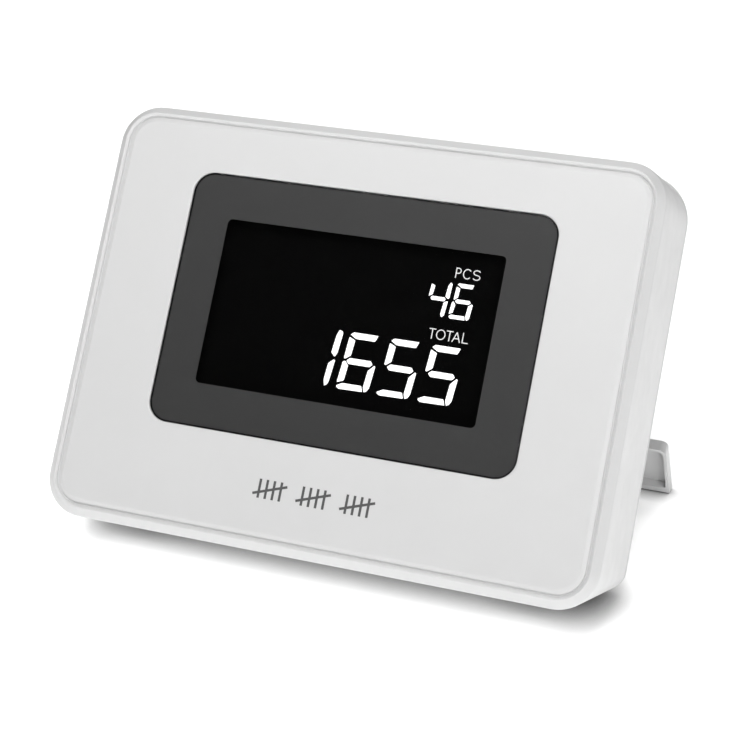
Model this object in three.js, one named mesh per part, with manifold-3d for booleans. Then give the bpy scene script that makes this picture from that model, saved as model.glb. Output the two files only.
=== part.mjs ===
// Tilted remote display unit for a counting scale: a white housing with an LCD behind a dark window,
// standing on its lower rear edge and on a fold-out stand. Millimetres, +Z up.
import * as THREE from "three";
import { mergeVertices } from "three/addons/utils/BufferGeometryUtils.js";
import Module from "manifold-3d";

const wasm = await Module();
wasm.setup();

// ---------------------------------------------------------------- driving dimensions
const TILT_DEG = 30; // the face leans back this far from the vertical
const FACE_HEIGHT = 64.3; // height of the window's centre above the table
const FACE_BACK = -22.89; // window's centre along Y, so that the whole unit is centred on the origin
const DEPTH = 40.5; // front face to rear face
const CHAMFER = 2.3; // depth at which the 45 degree edge round the face meets the walls
const HALF_W = 69.55, // outline of the housing just behind that edge
  TOP = 47.05,
  BOTTOM = -58.15,
  CORNER = 9.9;
const REAR_W = 0.76, // how far the walls have moved at the rear face
  REAR_TOP = 7.0,
  REAR_BOTTOM = 8.25,
  REAR_CORNER_TOP = 12.7,
  REAR_CORNER_BOTTOM = 4.0;
const REAR_EDGE = 2.8; // rounding of the rear edge
const WALL = 2.2,
  FACE_THICK = 3.1;
const SEAM = 37.0; // depth of the parting line between housing and rear cover
const GAP = 0.3;

const WINDOW_W = 92.8, // pocket for the window in the face
  WINDOW_H = 63.1,
  WINDOW_R = 5.2,
  POCKET = 1.95;
const LCD_X0 = -35.78, // aperture in the mask
  LCD_X1 = 35.02,
  LCD_Y0 = -20.72,
  LCD_Y1 = 20.48,
  LCD_R = 1.2;
const GROOVE_W = 66.5,
  GROOVE_TOP = 43.94,
  GROOVE_BOTTOM = -55.03,
  GROOVE_R = 6.85,
  GROOVE_WIDTH = 0.8,
  GROOVE_DEPTH = 0.5;

const PCB_Z = -12.3,
  PCB_T = 1.6,
  PCB_W = 57,
  PCB_H = 33;
const CASE_SCREWS = [
  [59, 42],
  [-59, 42],
  [59, -40],
  [-59, -40],
];
const PCB_SCREWS = [
  [51.5, 28],
  [-51.5, 28],
  [51.5, -28],
  [-51.5, -28],
];
const CASE_JOIN = 24.2; // depth at which the two rows of bosses meet

const SOCKET_X = 46,
  SOCKET_Y = -6,
  SOCKET_W = 16,
  SOCKET_H = 14,
  SOCKET_END = 30.6;

const HINGE_Y = 15, // hinge axis, along the face and behind it
  HINGE_Z = -43.7;
const OPEN_DEG = 55.1; // stand's angle from the rear face when it is open
const LEG_HALF = 31,
  STAND_BACK = 2.45, // rear and front surface of its plate, from the hinge axis
  STAND_FRONT = 1.05,
  STAND_WALL = 0.9,
  STAND_L = 61.2, // hinge axis to the table along the leg
  BAR_H = 18,
  BAR_HALF_TOP = 69.7,
  BAR_HALF_FOOT = 70.9,
  STAND_LIFT = 0.3, // foot bar's clearance above the table
  PAD_RECESS = 0.7;
const PIN_R = 1.2,
  PIN_HOLE = 1.32;

// ---------------------------------------------------------------- colours
const mat = (color, roughness = 0.5, metalness = 0) => () =>
  new THREE.MeshStandardMaterial({ color, roughness, metalness });
const WHITE = mat(0xe4e4e3, 0.45),
  WHITE_IN = mat(0xdcdcda, 0.6),
  CLEAR = mat(0xb8c4c8, 0.08),
  MASK = mat(0x404040, 0.4),
  BLACK = mat(0x17181a, 0.5),
  FOAM = mat(0x202022, 0.9),
  GLASS = mat(0x0b0b0c, 0.1),
  RUBBER = mat(0x2b2b2c, 0.85),
  STEEL = mat(0xb4b6b8, 0.35, 1),
  GOLD = mat(0xc9a85a, 0.3, 1),
  PCB = mat(0x1f5f3a, 0.45),
  LABEL = mat(0xc9cacc, 0.4);

// ---------------------------------------------------------------- helpers
const DEG = Math.PI / 180;

// Rounded rectangle as a ring of points, counter-clockwise, the same count whatever its size.
function ring(x0, x1, y0, y1, rBottom, rTop, seg) {
  const pts = [];
  for (const [cx, cy, a0, r] of [
    [x1 - rBottom, y0 + rBottom, -90, rBottom],
    [x1 - rTop, y1 - rTop, 0, rTop],
    [x0 + rTop, y1 - rTop, 90, rTop],
    [x0 + rBottom, y0 + rBottom, 180, rBottom],
  ])
    for (let i = 0; i <= seg; i++) {
      const a = (a0 + (90 * i) / seg) * DEG;
      pts.push(new THREE.Vector2(cx + r * Math.cos(a), cy + r * Math.sin(a)));
    }
  return pts;
}

// Closed solid through rings of equal length at falling z, with flat ends.
function loft(rings) {
  const n = rings[0].pts.length,
    pos = [],
    index = [];
  for (const { pts, z } of rings) for (const p of pts) pos.push(p.x, p.y, z);
  for (let k = 0; k + 1 < rings.length; k++)
    for (let i = 0; i < n; i++) {
      const a = k * n + i,
        b = k * n + ((i + 1) % n),
        c = a + n,
        d = b + n;
      index.push(a, c, b, b, c, d);
    }
  const last = (rings.length - 1) * n;
  for (const [a, b, c] of THREE.ShapeUtils.triangulateShape(rings[0].pts, []))
    index.push(a, b, c);
  for (const [a, b, c] of THREE.ShapeUtils.triangulateShape(
    rings[rings.length - 1].pts,
    [],
  ))
    index.push(last + a, last + c, last + b);
  return new THREE.BufferGeometry()
    .setAttribute("position", new THREE.Float32BufferAttribute(pos, 3))
    .setIndex(index);
}

function solid(geometry) {
  const g = (geometry.index ? geometry.toNonIndexed() : geometry.clone());
  for (const name of Object.keys(g.attributes))
    if (name !== "position") g.deleteAttribute(name);
  const m = mergeVertices(g, 1e-4);
  return new wasm.Manifold(
    new wasm.Mesh({
      numProp: 3,
      vertProperties: new Float32Array(m.attributes.position.array),
      triVerts: new Uint32Array(m.index.array),
    }),
  );
}

function geometryOf(s) {
  const m = s.getMesh();
  return new THREE.BufferGeometry()
    .setAttribute(
      "position",
      new THREE.BufferAttribute(new Float32Array(m.vertProperties), 3),
    )
    .setIndex(new THREE.BufferAttribute(new Uint32Array(m.triVerts), 1));
}

const shapeOf = (pts, holes = []) => {
  const s = new THREE.Shape(pts);
  for (const h of holes) s.holes.push(new THREE.Path(h));
  return s;
};
const plate = (pts, zTop, zBottom, holes = []) =>
  new THREE.ExtrudeGeometry(shapeOf(pts, holes), {
    depth: zTop - zBottom,
    bevelEnabled: false,
  }).translate(0, 0, zBottom);
const rect = (hw, y0, y1, r, seg = 5) => ring(-hw, hw, y0, y1, r, r, seg);
const block = (x0, x1, y0, y1, z0, z1) =>
  new THREE.BoxGeometry(x1 - x0, y1 - y0, z1 - z0).translate(
    (x0 + x1) / 2,
    (y0 + y1) / 2,
    (z0 + z1) / 2,
  );
const rod = (x, y, zTop, zBottom, r, seg = 20) =>
  new THREE.CylinderGeometry(r, r, zTop - zBottom, seg)
    .rotateX(Math.PI / 2)
    .translate(x, y, (zTop + zBottom) / 2);
const rodX = (x0, x1, y, z, r, seg = 16) =>
  new THREE.CylinderGeometry(r, r, x1 - x0, seg)
    .rotateZ(Math.PI / 2)
    .translate((x0 + x1) / 2, y, z);
// Profile in the (y, z) plane carried along X from x0 to x1.
const slab = (yz, x0, x1) =>
  new THREE.ExtrudeGeometry(
    shapeOf(yz.map(([y, z]) => new THREE.Vector2(y, z))),
    { depth: x1 - x0, bevelEnabled: false },
  )
    .applyMatrix4(
      new THREE.Matrix4().set(0, 0, 1, 0, 1, 0, 0, 0, 0, 1, 0, 0, 0, 0, 0, 1),
    )
    .translate(x0, 0, 0);

function node(group, name, geometry, material) {
  const mesh = new THREE.Mesh(geometry, material());
  mesh.name = name;
  group.add(mesh);
  return mesh;
}

// Outline of the housing at a depth behind the face, moved in by an inset.
function outline(depth, inset = 0, seg = 6) {
  const k = Math.max(0, (depth - CHAMFER) / (DEPTH - CHAMFER));
  const m = inset;
  const w = HALF_W + REAR_W * k - m;
  return ring(
    -w,
    w,
    BOTTOM + REAR_BOTTOM * k + m,
    TOP + REAR_TOP * k - m,
    Math.max(0.6, CORNER + (REAR_CORNER_BOTTOM - CORNER) * k - m),
    Math.max(0.6, CORNER + (REAR_CORNER_TOP - CORNER) * k - m),
    seg,
  );
}

const root = new THREE.Group();
const unit = new THREE.Group(); // face frame: x right, y up the face, z out of the face
unit.rotation.x = (90 - TILT_DEG) * DEG;
unit.position.set(0, FACE_BACK, FACE_HEIGHT);
root.add(unit);

// ---------------------------------------------------------------- front housing
{
  let s = solid(
    loft([
      { pts: outline(CHAMFER, 2.05), z: 0 },
      { pts: outline(CHAMFER, 1.8), z: -0.28 },
      { pts: outline(CHAMFER, 0.14), z: -2.0 },
      { pts: outline(CHAMFER), z: -2.4 },
      { pts: outline(SEAM - GAP / 2), z: -SEAM + GAP / 2 },
    ]),
  );
  s = s.subtract(
    solid(
      loft([
        { pts: outline(FACE_THICK, WALL), z: -FACE_THICK },
        { pts: outline(SEAM + 1, WALL), z: -SEAM - 1 },
      ]),
    ),
  );
  // groove round the face
  s = s.subtract(
    solid(
      plate(
        rect(
          GROOVE_W + GROOVE_WIDTH / 2,
          GROOVE_BOTTOM - GROOVE_WIDTH / 2,
          GROOVE_TOP + GROOVE_WIDTH / 2,
          GROOVE_R + GROOVE_WIDTH / 2,
          6,
        ),
        1,
        -GROOVE_DEPTH,
        [
          rect(
            GROOVE_W - GROOVE_WIDTH / 2,
            GROOVE_BOTTOM + GROOVE_WIDTH / 2,
            GROOVE_TOP - GROOVE_WIDTH / 2,
            GROOVE_R - GROOVE_WIDTH / 2,
            6,
          ),
        ],
      ),
    ),
  );
  // window pocket and the opening behind it
  s = s.subtract(
    solid(
      plate(
        rect(WINDOW_W / 2, -WINDOW_H / 2, WINDOW_H / 2, WINDOW_R, 6),
        1,
        -POCKET,
      ),
    ),
  );
  s = s.subtract(solid(plate(rect(41.5, -26.5, 26.5, 2, 3), 1, -6)));
  // bosses for the board and for the case screws
  for (const [x, y] of PCB_SCREWS)
    s = s
      .add(solid(rod(x, y, -FACE_THICK + 0.5, PCB_Z + GAP, 3.1)))
      .subtract(solid(rod(x, y, -5.5, PCB_Z - 1, 1.5, 16)));
  for (const [x, y] of CASE_SCREWS)
    s = s
      .add(solid(rod(x, y, -FACE_THICK + 0.5, -CASE_JOIN, 3.6)))
      .subtract(solid(rod(x, y, -11, -CASE_JOIN - 1, 1.7, 16)));
  node(unit, "front_housing", geometryOf(s), WHITE);
}

// ---------------------------------------------------------------- window
node(
  unit,
  "window_lens",
  plate(
    rect(WINDOW_W / 2 - 0.15, -WINDOW_H / 2 + 0.15, WINDOW_H / 2 - 0.15, 5.05, 8),
    -0.1,
    -0.62,
  ),
  CLEAR,
);
const aperture = (m) =>
  ring(LCD_X0 - m, LCD_X1 + m, LCD_Y0 - m, LCD_Y1 + m, LCD_R + m, LCD_R + m, 4);
node(
  unit,
  "window_mask",
  plate(rect(46.2, -31.35, 31.35, 5.0, 8), -0.7, -0.85, [aperture(0)]),
  MASK,
);
node(
  unit,
  "window_adhesive",
  plate(rect(45.9, -31.05, 31.05, 4.7, 4), -0.95, -1.85, [
    rect(41.9, -26.9, 26.9, 2, 3),
  ]),
  BLACK,
);

// ---------------------------------------------------------------- LCD stack
node(
  unit,
  "lcd_dust_gasket",
  plate(rect(39.6, -24.6, 24.6, 1, 2), -0.95, -3.45, [aperture(1.2)]),
  FOAM,
);
node(
  unit,
  "lcd_front_polariser",
  plate(rect(38.4, -23.6, 23.6, 0.3, 1), -3.53, -3.73, []),
  GLASS,
);
node(
  unit,
  "lcd_front_glass",
  plate(rect(39.4, -24.2, 27.2, 0.4, 1), -3.8, -4.9),
  GLASS,
);
node(
  unit,
  "lcd_rear_glass",
  plate(rect(39.4, -24.2, 24.4, 0.4, 1), -4.98, -6.08),
  GLASS,
);
node(
  unit,
  "lcd_rear_polariser",
  plate(rect(38.4, -23.6, 23.6, 0.3, 1), -6.15, -6.35),
  GLASS,
);
node(
  unit,
  "backlight_light_guide",
  plate(rect(37.2, -23.6, 23.6, 0.6, 2), -6.5, -9.4),
  mat(0xd8dcdc, 0.2),
);
node(
  unit,
  "backlight_reflector",
  plate(rect(37.2, -23.6, 23.6, 0.6, 2), -9.5, -9.66),
  mat(0xeeeeee, 0.3),
);
for (const [side, sx] of [
  ["left", -1],
  ["right", 1],
])
  node(
    unit,
    "backlight_led_" + side,
    block(
      sx > 0 ? 37.5 : -38.9,
      sx > 0 ? 38.9 : -37.5,
      -2.2,
      2.2,
      -9.3,
      -6.7,
    ),
    mat(0xf3f1e0, 0.4),
  );
{
  // moulded tray round the stack, open towards the window, with a slot for the elastomer strip
  let s = solid(plate(rect(42.4, -27.2, 29.4, 1.5, 3), -5.1, -11.7));
  s = s.subtract(solid(plate(rect(39.8, -24.6, 24.9, 0.8, 2), -4, -9.9)));
  s = s.subtract(solid(block(-35.4, 35.4, 24.0, 27.6, -13, -4)));
  s = s.subtract(solid(block(-30, 30, -18, 18, -13, -9)));
  node(unit, "lcd_holder", geometryOf(s), WHITE_IN);
}
node(
  unit,
  "zebra_strip",
  block(-34.9, 34.9, 25.1, 27.1, PCB_Z + 0.15, -5.05),
  mat(0x6c6f78, 0.7),
);

// ---------------------------------------------------------------- board
{
  let s = solid(plate(rect(PCB_W, -PCB_H, PCB_H, 1.5, 3), PCB_Z, PCB_Z - PCB_T));
  for (const [x, y] of PCB_SCREWS)
    s = s.subtract(solid(rod(x, y, PCB_Z + 1, PCB_Z - PCB_T - 1, 1.75, 16)));
  node(unit, "main_pcb", geometryOf(s), PCB);
}
const BACK = PCB_Z - PCB_T; // rear surface of the board
node(
  unit,
  "microcontroller_chip",
  block(-15, -3, -8, 4, BACK - 1.7, BACK - 0.15),
  BLACK,
);
node(
  unit,
  "lcd_driver_chip",
  block(-10, 4, 15, 22, BACK - 1.5, BACK - 0.15),
  BLACK,
);
node(
  unit,
  "crystal",
  plate(ring(-27, -16.2, -2, 2.6, 2.2, 2.2, 4), BACK - 0.15, BACK - 3.6),
  STEEL,
);
node(
  unit,
  "buffer_capacitor",
  rod(24, 18, BACK - 0.15, BACK - 8.2, 3.6, 20),
  mat(0x24262c, 0.4),
);
node(
  unit,
  "voltage_regulator",
  block(20, 27, 2, 9, BACK - 2.1, BACK - 0.15),
  BLACK,
);

// ---------------------------------------------------------------- data socket
{
  const x0 = SOCKET_X - SOCKET_W / 2,
    x1 = SOCKET_X + SOCKET_W / 2,
    y0 = SOCKET_Y - SOCKET_H / 2,
    y1 = SOCKET_Y + SOCKET_H / 2;
  let s = solid(block(x0, x1, y0, y1, -SOCKET_END, BACK - 0.15));
  s = s.subtract(
    solid(
      block(SOCKET_X - 5, SOCKET_X + 5, SOCKET_Y - 4, SOCKET_Y + 4, -SOCKET_END - 1, -19),
    ),
  );
  s = s.subtract(
    solid(
      block(SOCKET_X - 3.1, SOCKET_X + 3.1, SOCKET_Y - 5.6, SOCKET_Y - 3, -SOCKET_END - 1, -23),
    ),
  );
  node(unit, "data_socket", geometryOf(s), BLACK);
  node(
    unit,
    "socket_contacts",
    block(SOCKET_X - 3.2, SOCKET_X + 3.2, SOCKET_Y + 2.7, SOCKET_Y + 3.7, -28.2, -19.3),
    GOLD,
  );
}

// ---------------------------------------------------------------- rear cover
{
  const edge = [];
  for (let i = 0; i <= 3; i++) {
    const a = (i / 3) * 90 * DEG;
    edge.push({
      pts: outline(DEPTH, REAR_EDGE * (1 - Math.cos(a))),
      z: -(DEPTH - REAR_EDGE) - REAR_EDGE * Math.sin(a),
    });
  }
  let s = solid(
    loft([{ pts: outline(SEAM + GAP / 2), z: -SEAM - GAP / 2 }, ...edge]),
  );
  // spigot inside the walls of the housing
  s = s.add(
    solid(
      loft([
        { pts: outline(SEAM - 3.2, WALL + GAP), z: -SEAM + 3.2 },
        { pts: outline(SEAM + 0.6, WALL + GAP), z: -SEAM - 0.6 },
      ]),
    ),
  );
  s = s.subtract(
    solid(
      loft([
        { pts: outline(SEAM - 4, WALL + GAP + 1.6), z: -SEAM + 4 },
        { pts: outline(DEPTH - 2.3, WALL + GAP + 1.6), z: -DEPTH + 2.3 },
      ]),
    ),
  );
  // bosses with deep holes for the case screws
  for (const [x, y] of CASE_SCREWS)
    s = s
      .add(solid(rod(x, y, -CASE_JOIN - GAP, -DEPTH + 1.5, 4.7, 24)))
      .subtract(solid(rod(x, y, -CASE_JOIN - 2.6, -DEPTH - 1, 3.6, 20)))
      .subtract(solid(rod(x, y, -CASE_JOIN + 1, -DEPTH, 1.75, 16)));
  // well round the socket
  s = s.add(
    solid(
      block(
        SOCKET_X - 13.6,
        SOCKET_X + 13.6,
        SOCKET_Y - 11.6,
        SOCKET_Y + 11.6,
        -DEPTH + 1,
        -29,
      ),
    ),
  );
  s = s.subtract(
    solid(
      block(
        SOCKET_X - 12,
        SOCKET_X + 12,
        SOCKET_Y - 10,
        SOCKET_Y + 10,
        -DEPTH - 1,
        -30.8,
      ),
    ),
  );
  s = s.subtract(
    solid(
      block(
        SOCKET_X - SOCKET_W / 2 - 0.35,
        SOCKET_X + SOCKET_W / 2 + 0.35,
        SOCKET_Y - SOCKET_H / 2 - 0.35,
        SOCKET_Y + SOCKET_H / 2 + 0.35,
        -DEPTH,
        -28,
      ),
    ),
  );
  // hinge lugs
  for (const sx of [-1, 1]) {
    const profile = [
      [HINGE_Y - 5.2, -DEPTH + 1.4],
      [HINGE_Y - 4.6, -DEPTH],
    ];
    for (let i = 0; i <= 10; i++) {
      const a = (200 + (140 * i) / 10) * DEG;
      profile.push([
        HINGE_Y + 3.1 * Math.cos(a),
        HINGE_Z + 3.1 * Math.sin(a),
      ]);
    }
    profile.push([HINGE_Y + 4.6, -DEPTH], [HINGE_Y + 5.2, -DEPTH + 1.4]);
    const a = sx > 0 ? LEG_HALF + 0.4 : -LEG_HALF - 5.6;
    s = s.add(solid(slab(profile, a, a + 5.2)));
  }
  s = s.subtract(solid(rodX(-40, -LEG_HALF, HINGE_Y, HINGE_Z, PIN_HOLE)));
  s = s.subtract(solid(rodX(LEG_HALF, 40, HINGE_Y, HINGE_Z, PIN_HOLE)));
  node(unit, "rear_cover", geometryOf(s), WHITE);
}
node(
  unit,
  "rating_label",
  plate(ring(-28, 28, 26, 46, 1.5, 1.5, 3), -DEPTH - 0.1, -DEPTH - 0.28),
  LABEL,
);

// ---------------------------------------------------------------- fasteners
// Pan-head screw with a cross recess: head below zHead, shank running towards the face.
function screw(x, y, zHead, headR, headH, shankR, length) {
  let s = solid(rod(x, y, zHead, zHead - headH, headR, 20)).add(
    solid(rod(x, y, zHead + length, zHead - 0.5, shankR, 14)),
  );
  for (const [a, b] of [
    [headR * 0.55, 0.4],
    [0.4, headR * 0.55],
  ])
    s = s.subtract(
      solid(
        block(x - a, x + a, y - b, y + b, zHead - headH - 1, zHead - headH * 0.45),
      ),
    );
  return geometryOf(s);
}
const corner = ["upper_right", "upper_left", "lower_right", "lower_left"];
CASE_SCREWS.forEach(([x, y], i) =>
  node(
    unit,
    "case_screw_" + corner[i],
    screw(x, y, -CASE_JOIN - 2.9, 3.0, 2.0, 1.4, 12),
    STEEL,
  ),
);
PCB_SCREWS.forEach(([x, y], i) =>
  node(
    unit,
    "board_screw_" + corner[i],
    screw(x, y, BACK - 0.15, 2.7, 1.7, 1.2, 7),
    STEEL,
  ),
);

// ---------------------------------------------------------------- hinge pins
for (const [side, sx] of [
  ["left", -1],
  ["right", 1],
]) {
  const a = LEG_HALF - 7,
    b = LEG_HALF + 5.4;
  node(
    unit,
    "hinge_pin_" + side,
    rodX(sx > 0 ? a : -b, sx > 0 ? b : -a, HINGE_Y, HINGE_Z, PIN_R),
    STEEL,
  );
}

// ---------------------------------------------------------------- stand
// Its frame: origin on the hinge axis, -y down the leg, +z the hollow side, which faces the housing.
const stand = new THREE.Group();
stand.position.set(0, HINGE_Y, HINGE_Z);
stand.rotation.x = OPEN_DEG * DEG;
unit.add(stand);
const lean = (OPEN_DEG - TILT_DEG) * DEG; // leg from the vertical
const reach = // hinge axis to the table
  FACE_HEIGHT + HINGE_Y * Math.cos(TILT_DEG * DEG) + HINGE_Z * Math.sin(TILT_DEG * DEG);
// Where a plane level with the table, a little above it, cuts a line of the stand at depth z.
const footY = (z, lift) => -(reach - lift - z * Math.sin(lean)) / Math.cos(lean);
const zf = STAND_FRONT,
  zb = -STAND_BACK;
{
  const barTop = -(STAND_L - BAR_H);
  // foot bar: outline in x-y, cut off level at the foot
  const bar = [];
  const footLow = -STAND_L - 3;
  const slope = (BAR_HALF_FOOT - BAR_HALF_TOP) / BAR_H;
  const r = 2.6;
  const right = [];
  right.push([BAR_HALF_TOP + slope * (barTop - footLow), footLow]);
  for (let i = 0; i <= 5; i++) {
    const a = (90 * i) / 5 * DEG;
    right.push([BAR_HALF_TOP - r + r * Math.cos(a), barTop - r + r * Math.sin(a)]);
  }
  for (const [x, y] of right) bar.push(new THREE.Vector2(x, y));
  for (const [x, y] of [...right].reverse()) bar.push(new THREE.Vector2(-x, y));
  let s = solid(plate(bar, zf, zb));
  // leg
  s = s.add(
    solid(plate(ring(-LEG_HALF, LEG_HALF, barTop - 3, 0, 0.5, 0.5, 1), zf, zb)),
  );
  // barrel and the heel that stops it against the rear cover
  s = s.add(solid(rodX(-LEG_HALF, LEG_HALF, 0, 0, 2.85, 20)));
  s = s.add(solid(block(-12, 12, -0.5, 4.05, -2.75, -0.95)));
  // hollow side: foot bar, then two pockets in the leg either side of a rib
  const w = STAND_WALL,
    floor = zb + 1.0;
  const bx = BAR_HALF_TOP - w;
  const inner = ring(-bx, bx, footY(zf, 0) + 2.1, barTop - w, 0.8, 1.7, 4);
  s = s.subtract(solid(plate(inner, zf + 1, floor)));
  for (const sx of [-1, 1])
    s = s.subtract(
      solid(
        plate(
          ring(
            sx > 0 ? 0.8 : -LEG_HALF + w,
            sx > 0 ? LEG_HALF - w : -0.8,
            barTop + 0.6,
            -5.5,
            1.2,
            1.2,
            3,
          ),
          zf + 1,
          floor,
        ),
      ),
    );
  // level foot
  const cut = [
    [footY(zf + 2, STAND_LIFT), zf + 2],
    [footY(zb - 2, STAND_LIFT), zb - 2],
    [-STAND_L - 12, zb - 2],
    [-STAND_L - 12, zf + 2],
  ];
  s = s.subtract(solid(slab(cut, -90, 90)));
  for (const a of [-52.2, 37.8])
    s = s.subtract(
      solid(
        slab(
          [
            [footY(zf - 0.5, STAND_LIFT - 1), zf - 0.5],
            [footY(zb + 0.5, STAND_LIFT - 1), zb + 0.5],
            [footY(zb + 0.5, STAND_LIFT + PAD_RECESS), zb + 0.5],
            [footY(zf - 0.5, STAND_LIFT + PAD_RECESS), zf - 0.5],
          ],
          a,
          a + 14.4,
        ),
      ),
    );
  // pin holes
  for (const sx of [-1, 1])
    s = s.subtract(
      solid(
        rodX(
          sx > 0 ? LEG_HALF - 7.4 : -LEG_HALF - 1,
          sx > 0 ? LEG_HALF + 1 : -LEG_HALF + 7.4,
          0,
          0,
          PIN_HOLE,
        ),
      ),
    );
  node(stand, "fold_out_stand", geometryOf(s), WHITE);
}
for (const [side, sx] of [
  ["left", -1],
  ["right", 1],
]) {
  const a = sx > 0 ? 38 : -52;
  node(
    stand,
    "stand_pad_" + side,
    slab(
      [
        [footY(zf - 0.7, STAND_LIFT + PAD_RECESS - 0.12), zf - 0.7],
        [footY(zb + 0.7, STAND_LIFT + PAD_RECESS - 0.12), zb + 0.7],
        [footY(zb + 0.7, 0), zb + 0.7],
        [footY(zf - 0.7, 0), zf - 0.7],
      ],
      a,
      a + 14,
    ),
    RUBBER,
  );
}

// ---------------------------------------------------------------- rubber feet under the housing
// Wedges on the lower wall close to the rear edge, level with the table underneath.
{
  const c = Math.cos((90 - TILT_DEG) * DEG),
    sn = Math.sin((90 - TILT_DEG) * DEG);
  const world = (y, z) => [FACE_BACK + y * c - z * sn, FACE_HEIGHT + y * sn + z * c];
  const wall = (depth) => {
    const k = (depth - CHAMFER) / (DEPTH - CHAMFER);
    return world(BOTTOM + REAR_BOTTOM * k - 0.12, -depth);
  };
  const a = wall(28),
    b = wall(36.2);
  for (const [side, sx] of [
    ["left", -1],
    ["right", 1],
  ]) {
    const x0 = sx > 0 ? 44 : -58;
    node(
      root,
      "foot_pad_" + side,
      slab([[a[0], a[1]], [a[0], 0], [b[0] + 0.6, 0], [b[0], b[1]]], x0, x0 + 14),
      RUBBER,
    );
  }
}

export default root;
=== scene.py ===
import math

import bmesh
import bpy
from mathutils import Matrix, Vector


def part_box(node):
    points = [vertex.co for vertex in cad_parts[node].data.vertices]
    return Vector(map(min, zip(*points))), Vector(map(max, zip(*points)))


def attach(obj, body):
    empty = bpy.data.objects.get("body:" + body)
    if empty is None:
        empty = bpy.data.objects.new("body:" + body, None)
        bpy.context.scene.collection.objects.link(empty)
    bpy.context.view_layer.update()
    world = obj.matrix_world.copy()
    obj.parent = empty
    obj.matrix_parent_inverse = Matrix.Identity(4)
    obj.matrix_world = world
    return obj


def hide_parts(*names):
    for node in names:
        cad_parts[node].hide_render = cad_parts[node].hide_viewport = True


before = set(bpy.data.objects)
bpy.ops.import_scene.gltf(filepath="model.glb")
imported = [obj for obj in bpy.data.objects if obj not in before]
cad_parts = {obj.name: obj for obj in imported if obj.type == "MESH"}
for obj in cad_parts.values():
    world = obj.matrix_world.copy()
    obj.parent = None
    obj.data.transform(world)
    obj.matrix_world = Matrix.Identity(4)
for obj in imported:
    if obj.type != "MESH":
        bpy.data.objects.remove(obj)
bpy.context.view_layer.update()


# ------------------------------------------------------------------ dimensions, millimetres
TILT = math.radians(30)
FACE_BACK, FACE_HEIGHT = -22.89, 64.3
DEPTH, CHAMFER = 40.5, 2.3
HALF_W, TOP, BOTTOM, CORNER = 69.55, 47.05, -58.15, 9.9
REAR_W, REAR_TOP, REAR_BOTTOM = 0.76, 7.0, 8.25
REAR_CORNER_TOP, REAR_CORNER_BOTTOM, REAR_EDGE = 12.7, 4.0, 2.8
WALL, FACE_THICK, SEAM, GAP = 2.2, 3.1, 37.0, 0.3
WINDOW_W, WINDOW_H, WINDOW_R, POCKET = 92.8, 63.1, 5.2, 1.95
GROOVE_W, GROOVE_TOP, GROOVE_BOTTOM, GROOVE_R = 66.5, 43.94, -55.03, 6.85
HINGE_Y, HINGE_Z, OPEN = 15.0, -43.7, math.radians(55.1)
LEG_HALF, STAND_BACK, STAND_FRONT, STAND_WALL = 31.0, 2.45, 1.05, 0.9
STAND_L, BAR_H = 61.2, 18.0
BAR_HALF_TOP, BAR_HALF_FOOT, STAND_LIFT, PAD_RECESS = 69.7, 70.9, 0.3, 0.7
CASE_SCREWS = [(59, 42), (-59, 42), (59, -40), (-59, -40)]
PCB_SCREWS = [(51.5, 28), (-51.5, 28), (51.5, -28), (-51.5, -28)]
SOCKET_X, SOCKET_Y, SOCKET_W, SOCKET_H = 46.0, -6.0, 16.0, 14.0
LCD_DEPTH = 3.46  # the segments lie this far behind the face
CAMERA = Vector((126.956, -385.251, 205.910))

# Face frame (x right, y up the face, z out of it) to the row frame, in metres.
UNIT = (
    Matrix.Scale(0.001, 4)
    @ Matrix.Translation((0, FACE_BACK, FACE_HEIGHT))
    @ Matrix.Rotation(math.pi / 2 - TILT, 4, "X")
)
STAND = UNIT @ Matrix.Translation((0, HINGE_Y, HINGE_Z)) @ Matrix.Rotation(OPEN, 4, "X")
ROW = Matrix.Scale(0.001, 4)


# ------------------------------------------------------------------ mesh helpers
def ring(x0, x1, y0, y1, r_bottom, r_top, z, seg=14):
    out = []
    for cx, cy, a0, r in (
        (x1 - r_bottom, y0 + r_bottom, -90, r_bottom),
        (x1 - r_top, y1 - r_top, 0, r_top),
        (x0 + r_top, y1 - r_top, 90, r_top),
        (x0 + r_bottom, y0 + r_bottom, 180, r_bottom),
    ):
        for i in range(seg + 1):
            a = math.radians(a0 + 90 * i / seg)
            out.append((cx + r * math.cos(a), cy + r * math.sin(a), z))
    return out


def outline(depth, inset=0.0, z=None, seg=14):
    k = max(0.0, (depth - CHAMFER) / (DEPTH - CHAMFER))
    w = HALF_W + REAR_W * k - inset
    rb = max(0.5, CORNER + (REAR_CORNER_BOTTOM - CORNER) * k - inset)
    rt = max(0.5, CORNER + (REAR_CORNER_TOP - CORNER) * k - inset)
    return ring(-w, w, BOTTOM + REAR_BOTTOM * k + inset, TOP + REAR_TOP * k - inset, rb, rt, -depth if z is None else z, seg)


def rim(s, z, seg=14):
    """Ring at a distance outside the groove of the face."""
    w = GROOVE_W + s
    dx = 0.18 * max(0.0, min(1.0, (1.3 - s) / 0.5))
    return ring(-w + dx, w + dx, GROOVE_BOTTOM - s, GROOVE_TOP + s, GROOVE_R + s, GROOVE_R + s, z, seg)


def window(m, z, seg=14):
    w, h = WINDOW_W / 2 + m, WINDOW_H / 2 + m
    return ring(-w, w, -h, h, WINDOW_R + m, WINDOW_R + m, z, seg)


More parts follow.
